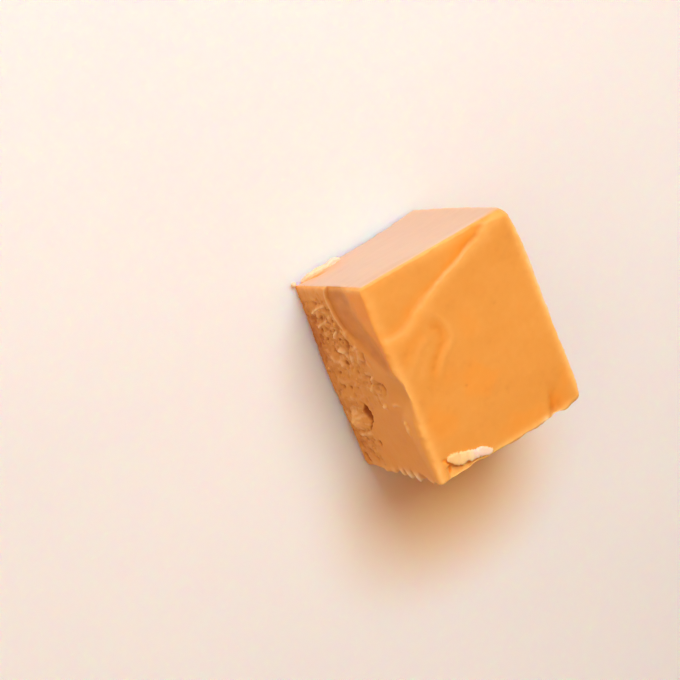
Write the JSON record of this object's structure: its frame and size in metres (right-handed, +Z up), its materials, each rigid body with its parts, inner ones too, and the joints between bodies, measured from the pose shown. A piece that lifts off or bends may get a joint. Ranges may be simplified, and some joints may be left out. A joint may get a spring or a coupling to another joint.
{
  "type": "fudge cube",
  "caption": "Hand-cut block of caramel fudge with one clean cut face, a crumbled side and a poured top, lying flat.",
  "frame": {"origin": "centre of the bounding box's bottom face, on the surface the block lies on", "axes": "+X from the clean cut end to the torn end, +Y from the crumbled side to the far side, +Z up out of the poured top"},
  "size_m": [0.0442, 0.0378, 0.0258],
  "materials": {
    "fudge": "satin caramel fudge: smooth on the poured top and the clean cut, crumbly and duller on the torn side"
  },
  "bodies": {
    "root": {"fudge": "fudge"}
  },
  "joints": []
}
